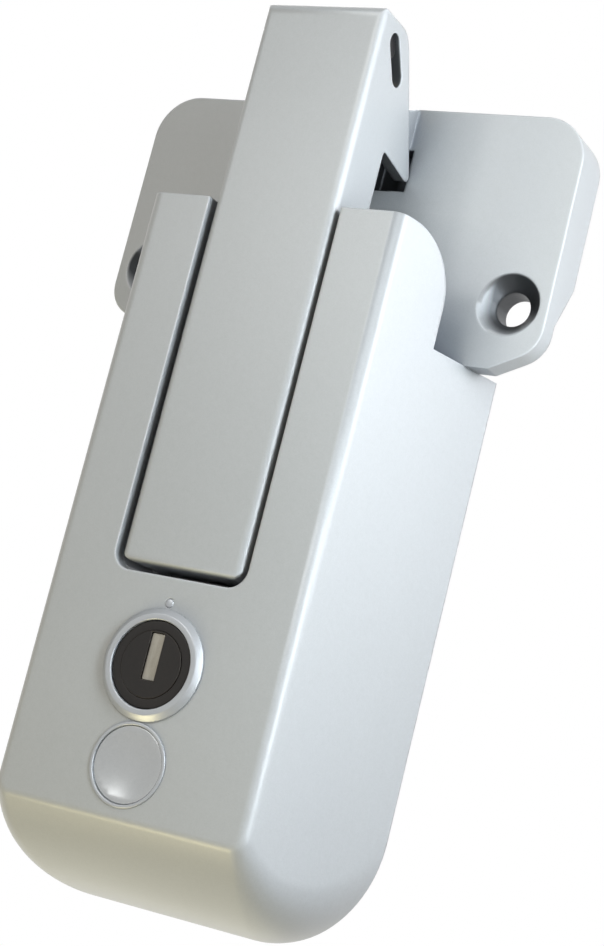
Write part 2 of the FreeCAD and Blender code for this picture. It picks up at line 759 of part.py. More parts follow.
def lock_plug():
    """Plug with its keyway, wafer slots and a square tang with a thread hole."""
    height = cylinder_height
    plug = rod_y(plug_r, 0, height, -plug_proud, barrel_end + tang_gap)
    tang_end = barrel_end + tang_gap + cam_thick
    tang = block(-tang_half, tang_half, barrel_end - 1, tang_end, height - tang_half, height + tang_half)
    cuts = [block(-keyway_width / 2, keyway_width / 2, -plug_proud - 1, keyway_end,
                  height + keyway_low, height + keyway_high)]
    for place in wafer_places():
        cuts.append(block(-wafer_half_width - loose_gap, wafer_half_width + loose_gap,
                          place - loose_gap, place + wafer_thick + loose_gap,
                          height - wafer_half_height - 0.2, height + wafer_half_height + 0.2))
    cuts.append(rod_y(small_screw_r, 0, height, barrel_end - cam_thread, tang_end + 1))
    return one_solid(plug.fuse(tang).cut(cuts))


def keyway_shutter():
    """Light bar that closes the keyway behind the face of the plug."""
    front = shutter_recess - plug_proud
    height = cylinder_height
    return block(fit_gap - keyway_width / 2, keyway_width / 2 - fit_gap, front, front + shutter_depth,
                 height + keyway_low + fit_gap, height + keyway_high - fit_gap)


def lock_wafer_group():
    """Flat wafers in the slots of the plug, each with a window for the key."""
    wafers = []
    height = cylinder_height
    for index, place in enumerate(wafer_places()):
        lift = 0.5 * math.sin(index * 2.1)
        plate = block(-wafer_half_width, wafer_half_width, place, place + wafer_thick,
                      height - wafer_half_height, height + wafer_half_height)
        hole = block(-keyway_width / 2, keyway_width / 2, place - 1, place + wafer_thick + 1,
                     height - wafer_window + lift, height + wafer_window + lift)
        wafers.append(plate.cut(hole))
    return Part.makeCompound(wafers)


def lock_cam():
    """Flat cam on the plug's tang. It points sideways at rest and up behind the hook when locked."""
    front = barrel_end + tang_gap
    height = cylinder_height
    half = cam_width / 2
    wide = front_profile([(-half - 1, height - half, half - 0.2), (cam_length + 1, height - half, 0),
                          (cam_length + 1, height + half, 0), (-half - 1, height + half, half - 0.2)],
                         front, front + cam_thick)
    wide = wide.common(rod_y(cam_length, 0, height, front, front + cam_thick))
    tang = tang_half + fit_gap
    hole = block(-tang, tang, front - 1, front + cam_thick + 1, height - tang, height + tang)
    return one_solid(wide.cut(hole))


def cam_screw():
    """Screw with a washer face that holds the cam."""
    seat = barrel_end + tang_gap + cam_thick
    shank = rod_y(small_screw_r - loose_gap, 0, cylinder_height, barrel_end + 1 - cam_thread, seat + 1)
    head = cone_y(cam_screw_head_r, tang_half, 0, cylinder_height, seat, seat + cam_screw_head)
    return one_solid(shank.fuse(head))


def index_pin():
    pin = rod_y(index_pin_r - 0.02, 0, index_height, 0, index_pin_length - index_pin_proud)
    tip = cone_y(index_pin_r / 2, index_pin_r - 0.02, 0, index_height, -index_pin_proud, 0)
    return one_solid(pin.fuse(tip))


def button_bezel():
    """Thin flanged sleeve that lines the button's hole."""
    height = button_height
    flange = rod_y(bezel_r, 0, height, -bezel_lip, 0)
    sleeve = rod_y(bezel_sleeve_r, 0, height, -bezel_lip, bezel_end)
    bore = rod_y(bezel_bore_r, 0, height, -bezel_lip - 1, bezel_end + 1)
    return one_solid(flange.fuse(sleeve).cut(bore))


def push_button():
    """Dished cap with a flange, a crosshead with two wedges, and a stem for the spring."""
    height = button_height
    cap = rod_y(button_r, 0, height, 0, button_thick)
    dish_r = button_r - button_rim
    ball_r = (dish_r ** 2 + dish_depth ** 2) / (2 * dish_depth)
    ball = Part.makeSphere(ball_r, vec(0, dish_depth - ball_r, height))
    cap = cap.cut(ball)
    neck = rod_y(button_r - 1.0, 0, height, button_thick - 1, bezel_end + button_play + 0.5)
    flange_front = bezel_end + button_play
    flange = rod_y(flange_r, 0, height, flange_front, flange_front + flange_thick)
    head_front = flange_front + flange_thick - 0.2
    crosshead = block(-fork_leg_outer, fork_leg_outer, head_front, crosshead_end,
                      height - crosshead_half, height + crosshead_half)
    wedge = side_profile(wedge_outline(height + crosshead_half - 0.5), wedge_inner, fork_leg_outer)
    foot = block(wedge_inner, fork_leg_outer, wedge_front, crosshead_end,
                 height - crosshead_half, height + crosshead_half)
    stem = rod_y(stem_r, 0, height, head_front, stem_end)
    pin = rod_y(peg_r, 0, height, stem_end - 1, stem_end + peg_length)
    return one_solid(cap.fuse([neck, flange, crosshead, stem, pin] + pair(wedge) + pair(foot)))


def wedge_outline(low):
    top_depth = wedge_front + wedge_top_run
    top = wedge_line - top_depth
    return [(wedge_front, low, 0), (wedge_front, top, 0), (top_depth, top, 0),
            (crosshead_end, wedge_line - crosshead_end, 0), (crosshead_end, low, 0)]


def ejector():
    """Fork over the cylinder. The wedges push its feet up and its tongue lifts the lever."""
    line = wedge_line + wedge_gap * math.sqrt(2)
    back = fork_front + fork_thick
    crotch = cylinder_height + barrel_r + crotch_gap
    leg = side_profile([(fork_front, line - fork_front, 0), (fork_front, crotch + fork_bar, 0),
                        (back, crotch + fork_bar, 0), (back, line - back, 0)],
                       fork_leg_inner, fork_leg_outer)
    bar = block(-fork_leg_outer, fork_leg_outer, fork_front, back, crotch, crotch + fork_bar)
    tongue = block(-tongue_half_width, tongue_half_width, fork_front, back, crotch + 1,
                   -lever_toe - tongue_gap)
    return one_solid(bar.fuse([tongue] + pair(leg)))


def strap_screw_places():
    x = (fork_leg_outer + rail_gap + rail_outer) / 2
    return [(x, cylinder_height + level * rail_half_height / 2) for level in (-1, 1)]


def ejector_strap_group():
    """Straps over the rails that keep the ejector in its track."""
    front = fork_front + fork_thick + rail_gap
    half = rail_half_height - 0.5
    strap = block(strap_inner, rail_outer, front, front + strap_thick,
                  cylinder_height - half, cylinder_height + half)
    for x, height in strap_screw_places():
        strap = strap.cut(rod_y(small_screw_r + 0.05, x, height, front - 1, front + strap_thick + 1))
    return Part.makeCompound(pair(strap))


def strap_screw_group():
    seat = fork_front + fork_thick + rail_gap + strap_thick
    screws = []
    for x, height in strap_screw_places():
        screws += pair(small_screw(x, height, seat, strap_thick + small_thread - 1))
    return Part.makeCompound(screws)


def button_bracket():
    """Bridge behind the button that guides its stem."""
    height = button_height
    bar = front_profile([(-bracket_half_width, height - bracket_half_height, 2.0),
                         (bracket_half_width, height - bracket_half_height, 2.0),
                         (bracket_half_width, height + bracket_half_height, 2.0),
                         (-bracket_half_width, height + bracket_half_height, 2.0)],
                        bracket_front, bracket_front + bracket_thick)
    guide = rod_y(stem_r + loose_gap, 0, height, 0, body_depth)
    holes = pair(rod_y(small_screw_r + 0.05, post_x, height, 0, body_depth))
    return one_solid(bar.cut([guide] + holes))


def bracket_screw_group():
    seat = bracket_front + bracket_thick
    return Part.makeCompound(pair(small_screw(post_x, button_height, seat, bracket_thick + small_thread)))


def button_spring():
    """Compression spring between the stem and the back cover."""
    start = stem_end + spring_wire + 0.1
    end = cover_front - spring_wire - 0.1
    steps = spring_turns * spring_steps
    sections = []
    for index in range(steps + 1):
        depth = start + (end - start) * index / steps
        angle = 2 * math.pi * index / spring_steps
        ring = []
        for u, v in ((-1, -1), (1, -1), (1, 1), (-1, 1), (-1, -1)):
            reach = spring_r + u * spring_wire
            ring.append(vec(reach * math.cos(angle), depth + v * spring_wire,
                            reach * math.sin(angle) + button_height))
        sections.append(Part.makePolygon(ring))
    gap = (end - start) / spring_turns - 2 * spring_wire
    print("button spring: gap between turns", round(gap, 2), "mm")
    return Part.makeLoft(sections, True, True)


nodes = {
    "housing": housing,
    "wing_plate": wing_plate,
    "pivot_lug": pivot_lug,
    "lever_channel": lever_channel,
    "back_cover": back_cover,
    "cover_screws": cover_screw_group,
    "lever": lever,
    "lock_hook": lock_hook,
    "hook_screws": hook_screw_group,
    "pivot_pin": pivot_pin,
    "slide_shoes": slide_shoe_group,
    "pivot_sleeves": pivot_sleeve_group,
    "lever_pads": lever_pad_group,
    "escutcheon_ring": escutcheon_ring,
    "cylinder_body": cylinder_body,
    "cylinder_nut": cylinder_nut,
    "lock_plug": lock_plug,
    "keyway_shutter": keyway_shutter,
    "lock_wafers": lock_wafer_group,
    "lock_cam": lock_cam,
    "cam_screw": cam_screw,
    "index_pin": index_pin,
    "button_bezel": button_bezel,
    "push_button": push_button,
    "button_spring": button_spring,
    "button_bracket": button_bracket,
    "bracket_screws": bracket_screw_group,
    "ejector": ejector,
    "ejector_straps": ejector_strap_group,
    "strap_screws": strap_screw_group,
}

os.makedirs("parts", exist_ok=True)
for name, make in nodes.items():
    shape = make()
    shape.exportStep("parts/" + name + ".step")
    print(name, len(shape.Solids), "solids", round(shape.Volume, 1), "mm3", shape.isValid())
print("pin at", round(pin_depth - wing_back, 4), round(pin_height + ledge_height, 4),
      "button travel", round(button_travel, 3))
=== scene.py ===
import json
import math

import bmesh
import bpy
import numpy as np
from mathutils import Euler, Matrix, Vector


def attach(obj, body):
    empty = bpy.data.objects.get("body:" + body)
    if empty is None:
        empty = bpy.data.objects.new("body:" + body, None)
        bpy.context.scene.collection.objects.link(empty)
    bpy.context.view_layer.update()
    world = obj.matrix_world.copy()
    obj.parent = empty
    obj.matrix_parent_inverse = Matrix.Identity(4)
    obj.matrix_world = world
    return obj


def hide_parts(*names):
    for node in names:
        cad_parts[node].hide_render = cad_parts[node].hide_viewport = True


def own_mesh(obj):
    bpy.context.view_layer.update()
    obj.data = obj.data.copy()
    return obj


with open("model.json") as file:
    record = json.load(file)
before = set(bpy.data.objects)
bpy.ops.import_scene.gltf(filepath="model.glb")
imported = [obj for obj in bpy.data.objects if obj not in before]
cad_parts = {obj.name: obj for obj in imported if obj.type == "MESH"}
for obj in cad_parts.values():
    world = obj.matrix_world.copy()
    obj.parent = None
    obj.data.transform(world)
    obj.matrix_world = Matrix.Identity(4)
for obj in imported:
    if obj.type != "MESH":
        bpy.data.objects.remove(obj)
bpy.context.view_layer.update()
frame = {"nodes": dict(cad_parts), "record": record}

# The part is drawn in millimetres from its own front face: side, depth behind the front face
# and height over the ledges beside the lever. toMetres puts that into the frame of the lock.
lock = {
    "frontDepth": 31.5,      # front face in front of the frame's origin
    "ledgeHeight": 7.9,      # ledges over the frame's origin
    "cylinderHeight": -94.0,
    "buttonHeight": -113.2,
}


def toMetres(side, depth, height):
    side, depth, height = np.broadcast_arrays(side, depth, height)
    return np.stack([side, depth - lock["frontDepth"], height + lock["ledgeHeight"]], -1) / 1000


# Materials

class Wire:                              # a socket that can stand in a sum
    def __init__(self, tree, socket=None):
        self.tree = tree
        self.socket = socket

    def node(self, kind, settings=None, sockets=None, output=0):
        made = self.tree.nodes.new("ShaderNode" + kind)
        for name, value in (settings or {}).items():
            setattr(made, name, value)
        for name, value in (sockets or {}).items():
            if isinstance(value, Wire):
                self.tree.links.new(value.socket, made.inputs[name])
            else:
                made.inputs[name].default_value = value
        return Wire(self.tree, made.outputs[output] if len(made.outputs) else None)

    def maths(self, operation, a, b=0.0, clamp=False):
        return self.node("Math", {"operation": operation, "use_clamp": clamp}, {0: a, 1: b})

    def __add__(self, other):
        return self.maths("ADD", self, other)

    def __sub__(self, other):
        return self.maths("SUBTRACT", self, other)

    def __rsub__(self, other):
        return self.maths("SUBTRACT", other, self)

    def __mul__(self, other):
        return self.maths("MULTIPLY", self, other)

    def __pow__(self, other):
        return self.maths("POWER", self, other)

    __radd__ = __add__
    __rmul__ = __mul__

    def held(self):                      # kept between 0 and 1
        return self.maths("ADD", self, 0.0, clamp=True)

    def mix(self, first, second):        # the first colour at 0, the second at 1
        return self.node("Mix", {"data_type": "RGBA"}, {0: self, 6: first, 7: second}, 2)


def newMaterial(name):
    material = bpy.data.materials.new(name)
    material.use_nodes = True
    material.node_tree.nodes.clear()
    return material, Wire(material.node_tree)


def noise(start, place, scale, detail=2.0, roughness=0.5):
    return start.node("TexNoise", {}, {"Vector": place, "Scale": scale, "Detail": detail,
                                       "Roughness": roughness})


def rgba(colour):
    return (*colour, 1.0)


def between(value, low, high, soft):     # 1 from low to high, falling to 0 over soft beyond them
    rise = value.maths("MULTIPLY", value - (low - soft), 1.0 / soft, clamp=True)
    fall = value.maths("MULTIPLY", (high + soft) - value, 1.0 / soft, clamp=True)
    return rise * fall


# What all finishes share: the samples of their rounded edges and corners, how fine their noise
# is, and how much the cloud and the specks add to roughness and height.
shared = {"samples": 6, "cloudDetail": 3.0, "grainDetail": 2.0, "grainRoughness": 0.6,
          "speckDetail": 1.0, "cloudRough": 0.06, "speckHeight": 0.5}


def closeness(start, reach):             # 0 in the open, 1 where other surfaces stand all round
    openness = start.node("AmbientOcclusion", {"samples": shared["samples"]}, {"Distance": reach}, "AO")
    return 1.0 - openness


# One surface: a slow cloud of tone, a fine grain, edges lightened partly as wear and partly as a painted
# highlight, painted shade in the corners and where surfaces stand close, painted shade in the recesses a
# look picks, and a bump of the grain on normals that are rounded at the edges.
def makeFinish(name, look):
    material, start = newMaterial(name)
    place = start.node("TexCoord", {}, {}, "Object")
    stretch = look.get("stretch", (1.0, 1.0, 1.0))
    grainPlace = start.node("Mapping", {}, {"Vector": place, "Scale": stretch})
    cloud = noise(start, place, look["cloudScale"], shared["cloudDetail"])
    grain = noise(start, grainPlace, look["grainScale"], shared["grainDetail"], shared["grainRoughness"])
    speck = noise(start, place, look["speckScale"], shared["speckDetail"])
    rounded = start.node("Bevel", {"samples": shared["samples"]}, {"Radius": look["edgeRound"]})
    trueNormal = start.node("NewGeometry", {}, {}, "Normal")
    bend = start.node("VectorMath", {"operation": "DOT_PRODUCT"}, {0: rounded, 1: trueNormal}, "Value")
    edge = ((1.0 - bend) * look["edgeGain"]).held()
    tone = ((cloud - 0.5) * look["cloudDepth"] + (grain - 0.5) * look["grainDepth"]
            + (speck - 0.5) * look["speckDepth"] + 0.5).held()
    colour = tone.mix(rgba(look["dark"]), rgba(look["light"]))
    # Rounded edges are lightened: partly wear, partly a painted highlight.
    colour = (edge * look["edgeWearHighlightShow"]).mix(colour, rgba(look["edgeWearHighlightColour"]))
    if look.get("cornerShadeShow"):           # painted shade in the corners, where other surfaces stand close
        colour = (closeness(start, look["cornerShadeReach"]) * look["cornerShadeShow"]).mix(
            colour, rgba(look["cornerShadeColour"]))
    if look.get("cavityShadeShow"):           # painted shade: a bluish dark where surfaces stand close to others
        colour = (closeness(start, look["cavityShadeReach"]) * look["cavityShadeShow"]).held().mix(
            colour, rgba(look["cavityShadeColour"]))
    metallic, coat = look["metallic"], look.get("coat", 0.0)
    if look.get("paintedShade"):                 # painted shade: dark metal in the recesses the look's mask picks
        paintedShade = look["paintedShade"](place)
        colour = paintedShade.mix(colour, rgba(look["paintedShadeColour"]))
        metallic, coat = paintedShade * (look["paintedShadeMetallic"] - metallic) + metallic, (1.0 - paintedShade) * coat
    rough = (look["roughness"] + (grain - 0.5) * look["roughSpread"]
             + (cloud - 0.5) * shared["cloudRough"] - edge * look.get("edgePolish", 0.0)).held()
    bump = start.node("Bump", {}, {"Strength": look["bump"], "Distance": look["bumpHeight"],
                                   "Height": grain + speck * shared["speckHeight"], "Normal": rounded})
    shader = start.node("BsdfPrincipled", {}, {
        "Base Color": colour, "Roughness": rough, "Normal": bump,
        "Metallic": metallic, "Specular IOR Level": look.get("specular", 0.5),
        "Coat Weight": coat, "Coat Roughness": look.get("coatRoughness", 0.3),
    })
    start.node("OutputMaterial", {}, {"Surface": shader})
    return material


farAway = 1.0                            # in metres, beyond anything on the lock

# Painted shade in the screw holes of the wing plate below their rims and in the pockets beside the lug:
# dark metal by distance from the hole's axis and depth below the plate's face, or by the pocket's box.
# The holes' upper, outer side is painted dark from the rim on.
recessShade = {"holeX": 0.042, "sinkRadius": 0.0067, "boreRadius": 0.0038, "face": -0.005,
             "fadeDepth": 0.0022, "fadeShare": 0.9, "rimDepth": 0.0004, "sinkEnd": -0.0016,
             "shadeUp": 150.0, "shadeOut": 90.0, "shadeShare": 0.3, "pocketX": (0.0053, 0.0092),
             "pocketZ": (0.0216, 0.0310), "pocketBack": -0.0006, "pocketSoft": 0.0012, "sharp": 0.0001}


def sideDepthHeight(place):              # distance from the middle plane, and the other two axes
    axes = place.node("SeparateXYZ", {}, {0: place})
    depth, height = [Wire(place.tree, axes.socket.node.outputs[axis]) for axis in (1, 2)]
    return axes.maths("ABSOLUTE", axes), depth, height


def wingRecessShade(place):
    side, depth, height = sideDepthHeight(place)
    sharp = recessShade["sharp"]
    across = side - recessShade["holeX"]
    radius = (across * across + height * height) ** 0.5
    inSink = (between(radius, -farAway, recessShade["sinkRadius"], sharp)
              * between(depth, -farAway, recessShade["sinkEnd"], sharp))
    inHole = (inSink + between(radius, -farAway, recessShade["boreRadius"], sharp)).held()
    below = depth - recessShade["face"]
    sunk = (below * (1.0 / recessShade["fadeDepth"])).held()
    rim = (below * (1.0 / recessShade["rimDepth"])).held()
    upperShade = (height * recessShade["shadeUp"] + across * recessShade["shadeOut"]
             + recessShade["shadeShare"]).held()
    inPocket = (between(side, *recessShade["pocketX"], recessShade["pocketSoft"])
                * between(height, *recessShade["pocketZ"], sharp)
                * between(depth, -farAway, recessShade["pocketBack"], sharp))
    return (inHole * (sunk * recessShade["fadeShare"] + rim * upperShade).held() + inPocket).held()


# Painted shade in the hollow nose of the lever: dark inside its cheeks, behind the front wall and
# under the top wall.
noseInside = {"cheek": 0.01345, "front": -0.0278, "low": 0.0120, "top": 0.0486, "soft": 0.00015}


def noseHollowShade(place):
    side, depth, height = sideDepthHeight(place)
    return (between(side, -farAway, noseInside["cheek"], noseInside["soft"])
            * between(depth, noseInside["front"], farAway, noseInside["soft"])
            * between(height, noseInside["low"], noseInside["top"], noseInside["soft"]))


looks = {
    "silverPaint": {
        "dark": (0.43, 0.445, 0.445), "light": (0.50, 0.515, 0.52), "edgeWearHighlightColour": (0.76, 0.78, 0.79),
        "cornerShadeColour": (0.30, 0.30, 0.29), "cornerShadeShow": 0.45, "cornerShadeReach": 0.004,
        "cloudScale": 18.0, "cloudDepth": 0.7, "grainScale": 900.0, "grainDepth": 0.5,
        "speckScale": 3200.0, "speckDepth": 0.7, "edgeRound": 0.0008, "edgeGain": 6.0,
        "edgeWearHighlightShow": 0.80, "metallic": 0.06, "roughness": 0.42, "roughSpread": 0.12,
        "bump": 0.22, "bumpHeight": 0.00008, "edgePolish": 0.08, "coat": 0.38, "coatRoughness": 0.27,
        "cavityShadeShow": 0.4, "cavityShadeReach": 0.016, "cavityShadeColour": (0.08, 0.10, 0.14),
    },
    "backPlate": {
        "dark": (0.19, 0.195, 0.20), "light": (0.24, 0.245, 0.25), "edgeWearHighlightColour": (0.40, 0.41, 0.42),
        "cornerShadeColour": (0.10, 0.10, 0.10), "cornerShadeShow": 0.4, "cornerShadeReach": 0.003,
        "cloudScale": 22.0, "cloudDepth": 0.9, "grainScale": 700.0, "grainDepth": 0.9,
        "speckScale": 2600.0, "speckDepth": 0.8, "edgeRound": 0.0004, "edgeGain": 5.0,
        "edgeWearHighlightShow": 0.5, "metallic": 0.2, "roughness": 0.5, "roughSpread": 0.15,
        "bump": 0.35, "bumpHeight": 0.0001,
    },
    "zincSteel": {
        "dark": (0.45, 0.44, 0.41), "light": (0.62, 0.61, 0.58), "edgeWearHighlightColour": (0.75, 0.74, 0.72),
        "cloudScale": 60.0, "cloudDepth": 1.0, "grainScale": 1200.0, "grainDepth": 0.6,
        "speckScale": 3000.0, "speckDepth": 0.4, "edgeRound": 0.0003, "edgeGain": 5.0,
        "edgeWearHighlightShow": 0.5, "metallic": 1.0, "roughness": 0.32, "roughSpread": 0.18,
        "bump": 0.2, "bumpHeight": 0.00005, "stretch": (1.0, 1.0, 0.25),
    },
    "darkSteel": {
        "dark": (0.05, 0.05, 0.052), "light": (0.10, 0.10, 0.10), "edgeWearHighlightColour": (0.30, 0.30, 0.30),
        "cloudScale": 80.0, "cloudDepth": 1.0, "grainScale": 1500.0, "grainDepth": 0.6,
        "speckScale": 3000.0, "speckDepth": 0.4, "edgeRound": 0.0003, "edgeGain": 5.0,
        "edgeWearHighlightShow": 0.6, "metallic": 0.9, "roughness": 0.38, "roughSpread": 0.15,
        "bump": 0.2, "bumpHeight": 0.00005,
    },
    "brightRing": {
        "dark": (0.37, 0.385, 0.40), "light": (0.43, 0.445, 0.46), "edgeWearHighlightColour": (0.66, 0.68, 0.70),
        "cloudScale": 70.0, "cloudDepth": 0.6, "grainScale": 1400.0, "grainDepth": 0.4,
        "speckScale": 4000.0, "speckDepth": 0.2, "edgeRound": 0.0003, "edgeGain": 5.0,
        "edgeWearHighlightShow": 0.5, "metallic": 0.55, "roughness": 0.38, "roughSpread": 0.06,
        "bump": 0.04, "bumpHeight": 0.00003,
    },
    "blackCylinder": {
        "dark": (0.006, 0.005, 0.004), "light": (0.014, 0.011, 0.009), "edgeWearHighlightColour": (0.10, 0.08, 0.06),
        "cloudScale": 90.0, "cloudDepth": 1.0, "grainScale": 1300.0, "grainDepth": 0.7,
        "speckScale": 3500.0, "speckDepth": 0.5, "edgeRound": 0.00025, "edgeGain": 5.0,
        "edgeWearHighlightShow": 0.35, "metallic": 0.0, "roughness": 0.42, "roughSpread": 0.12, "specular": 0.3,
        "bump": 0.14, "bumpHeight": 0.00004,
    },
    "shutterSteel": {
        "dark": (0.26, 0.24, 0.20), "light": (0.38, 0.355, 0.30), "edgeWearHighlightColour": (0.52, 0.49, 0.44),
        "cloudScale": 150.0, "cloudDepth": 0.8, "grainScale": 1300.0, "grainDepth": 1.8,
        "speckScale": 4000.0, "speckDepth": 0.5, "edgeRound": 0.0002, "edgeGain": 5.0,
        "edgeWearHighlightShow": 0.5, "metallic": 0.5, "roughness": 0.4, "roughSpread": 0.12,
        "bump": 0.15, "bumpHeight": 0.00004, "stretch": (1.0, 1.0, 0.12),
    },
    "brass": {
        "dark": (0.50, 0.36, 0.14), "light": (0.68, 0.50, 0.22), "edgeWearHighlightColour": (0.80, 0.64, 0.34),
        "cloudScale": 90.0, "cloudDepth": 1.0, "grainScale": 1600.0, "grainDepth": 0.5,
        "speckScale": 4000.0, "speckDepth": 0.3, "edgeRound": 0.0002, "edgeGain": 5.0,
        "edgeWearHighlightShow": 0.5, "metallic": 1.0, "roughness": 0.3, "roughSpread": 0.14,
        "bump": 0.15, "bumpHeight": 0.00004,
    },
    "rubber": {
        "dark": (0.018, 0.018, 0.019), "light": (0.032, 0.032, 0.033), "edgeWearHighlightColour": (0.06, 0.06, 0.06),
        "cloudScale": 120.0, "cloudDepth": 0.8, "grainScale": 1500.0, "grainDepth": 0.9,
        "speckScale": 3500.0, "speckDepth": 0.6, "edgeRound": 0.0003, "edgeGain": 4.0,
        "edgeWearHighlightShow": 0.5, "metallic": 0.0, "roughness": 0.75, "roughSpread": 0.12,
        "bump": 0.4, "bumpHeight": 0.00008,
    },
    "buttonPaint": {
        "dark": (0.36, 0.37, 0.37), "light": (0.43, 0.44, 0.44), "edgeWearHighlightColour": (0.66, 0.68, 0.69),
        "cloudScale": 60.0, "cloudDepth": 0.6, "grainScale": 1000.0, "grainDepth": 0.5,
        "speckScale": 3200.0, "speckDepth": 0.6, "edgeRound": 0.0004, "edgeGain": 6.0,
        "edgeWearHighlightShow": 0.7, "metallic": 0.85, "roughness": 0.30, "roughSpread": 0.06,
        "bump": 0.05, "bumpHeight": 0.00004, "edgePolish": 0.1,
    },
}
looks["wingPaint"] = {**looks["silverPaint"], "paintedShade": wingRecessShade, "paintedShadeColour": (0.075, 0.078, 0.082),
                      "paintedShadeMetallic": 0.9, "cavityShadeShow": 0.95, "cavityShadeReach": 0.019}
looks["leverPaint"] = {**looks["silverPaint"], "paintedShade": noseHollowShade, "paintedShadeColour": (0.07, 0.073, 0.075),
                       "paintedShadeMetallic": 0.2, "edgeRound": 0.0011}
finishes = {name: makeFinish(name, look) for name, look in looks.items()}
print("finishes made:", len(finishes))

slotFinish = {
    "silver_paint": "silverPaint", "back_plate": "backPlate", "steel": "zincSteel",
    "dark_steel": "darkSteel", "bright_ring": "brightRing", "black_cylinder": "blackCylinder",
    "shutter_steel": "shutterSteel", "brass": "brass", "rubber": "rubber",
    "button_paint": "buttonPaint",
}
nodeSlot = {row["node"]: row["material_slot"] for row in frame["record"]["subparts"]}
nodeBody = {node: body for body, nodes in frame["record"]["behaviour"]["bodies"].items()
            for node in nodes}
for node, piece in frame["nodes"].items():
    piece.data.materials.clear()
    piece.data.materials.append(finishes[slotFinish[nodeSlot[node]]])


# Surfaces

# Grids of points [u, v] become one mesh: each point is joined to its neighbours, and the last
# row or column to the first where that way is closed. Points that meet are merged.
def makeSurface(name, *grids, closeU=False, closeV=False):
    faces, count = [], 0
    for points in grids:
        rows, columns = points.shape[:2]
        u = np.arange(rows if closeU else rows - 1)[:, None]
        v = np.arange(columns if closeV else columns - 1)[None, :]
        nextU, nextV = (u + 1) % rows, (v + 1) % columns
        quads = np.stack([u * columns + v, nextU * columns + v, nextU * columns + nextV,
                          u * columns + nextV], -1).reshape(-1, 4)
        faces.append(quads + count)
        count += rows * columns
    mesh = bpy.data.meshes.new(name)
    places = np.concatenate([points.reshape(-1, 3) for points in grids])
    mesh.from_pydata(places.tolist(), [], np.concatenate(faces).tolist())
    return closeMesh(mesh)


def closeMesh(mesh, sharpAngle=38.0, mergeBelow=2e-7):
    work = bmesh.new()
    work.from_mesh(mesh)
    bmesh.ops.remove_doubles(work, verts=work.verts, dist=mergeBelow)
    bmesh.ops.dissolve_degenerate(work, edges=work.edges, dist=mergeBelow / 2)
    bmesh.ops.recalc_face_normals(work, faces=work.faces)
    work.to_mesh(mesh)
    work.free()
    mesh.shade_smooth()
    mesh.set_sharp_from_angle(angle=math.radians(sharpAngle))
    return mesh


# Corners (across, along, radius) of a closed line, each rounded by an arc of its radius. Along an
# arc the point is the middle of the corner's circle plus the radius turned from one side's normal
# to the other's.
def roundLine(corners, steps=6):
    corners = np.array(corners, float)
    count = len(corners)
    line = []
    for index in range(count):
        here, radius = corners[index, :2], corners[index, 2]
        if radius == 0:
            line.append(here[None])
            continue
        back = corners[index - 1, :2] - here
        ahead = corners[(index + 1) % count, :2] - here
        back, ahead = back / np.linalg.norm(back), ahead / np.linalg.norm(ahead)
        half = math.acos(np.clip(back @ ahead, -1, 1)) / 2
        middle = here + (back + ahead) / np.linalg.norm(back + ahead) * radius / math.sin(half)
        start = here + back * radius / math.tan(half) - middle
        end = here + ahead * radius / math.tan(half) - middle
        part = np.linspace(0, 1, steps + 1)[:, None]
        turn = math.pi - 2 * half
        line.append(middle + (np.sin((1 - part) * turn) * start + np.sin(part * turn) * end)
                    / math.sin(turn))
    return np.concatenate(line)


# A profile of (radius, depth) turned round an axis along the depth, in the middle of the lock:
# side = r cos a, height = h + r sin a.
def turned(name, profile, height, closed=True, segments=128):
    angle = np.linspace(0, 2 * math.pi, segments, endpoint=False)[None, :]
    radius, depth = profile[:, :1], profile[:, 1:2]
    points = toMetres(radius * np.cos(angle), depth, height + radius * np.sin(angle))
    return makeSurface(name, points, closeU=closed, closeV=True)


def addPiece(name, mesh, body, slot, replaced, finish=None):
    piece = bpy.data.objects.new(name, mesh)
    bpy.context.scene.collection.objects.link(piece)
    mesh.materials.append(finishes[finish or slotFinish[slot]])
    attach(piece, body)
    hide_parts(*replaced)
    return piece


# The escutcheon: a bevelled ring that stands on the front wall, and its spigot behind it.
ring = {"outer": 10.9, "skirt": 0.35, "skirtRound": 0.25, "face": 9.75, "proud": 1.3, "faceRound": 0.3,
        "bore": 8.6, "boreRound": 0.22, "recess": -0.25, "spigot": 8.6, "inner": 8.0, "end": 2.8}


def escutcheonProfile():
    return roundLine([
        (ring["inner"], ring["end"], 0), (ring["spigot"], ring["end"], 0), (ring["spigot"], 0, 0),
        (ring["outer"], 0, 0), (ring["outer"], -ring["skirt"], ring["skirtRound"]),
        (ring["face"], -ring["proud"], ring["faceRound"]),
        (ring["bore"], -ring["proud"], ring["boreRound"]), (ring["bore"], ring["recess"], 0),
        (ring["inner"], ring["recess"], 0),
    ])


addPiece("escutcheon", turned("escutcheon", escutcheonProfile(), lock["cylinderHeight"]),
         "housing", "bright_ring", ["escutcheon_ring"])

# The barrel of the cylinder with its thin black head.
barrel = {"radius": 7.9, "head": 8.5, "headRound": 0.3, "front": -0.9, "headBack": -0.25, "bore": 6.55,
          "boreRound": 0.12, "end": 22.0, "endRound": 0.4, "mouthRound": 0.2}


def barrelProfile():
    return roundLine([
        (barrel["bore"], barrel["front"], barrel["boreRound"]),
        (barrel["head"], barrel["front"], barrel["headRound"]),
        (barrel["head"], barrel["headBack"], 0), (barrel["radius"], barrel["headBack"], 0),
        (barrel["radius"], barrel["end"], barrel["endRound"]),
        (barrel["bore"], barrel["end"], barrel["mouthRound"]),
    ])


addPiece("cylinderBarrel", turned("cylinderBarrel", barrelProfile(), lock["cylinderHeight"]),
         "housing", "black_cylinder", ["cylinder_body"])

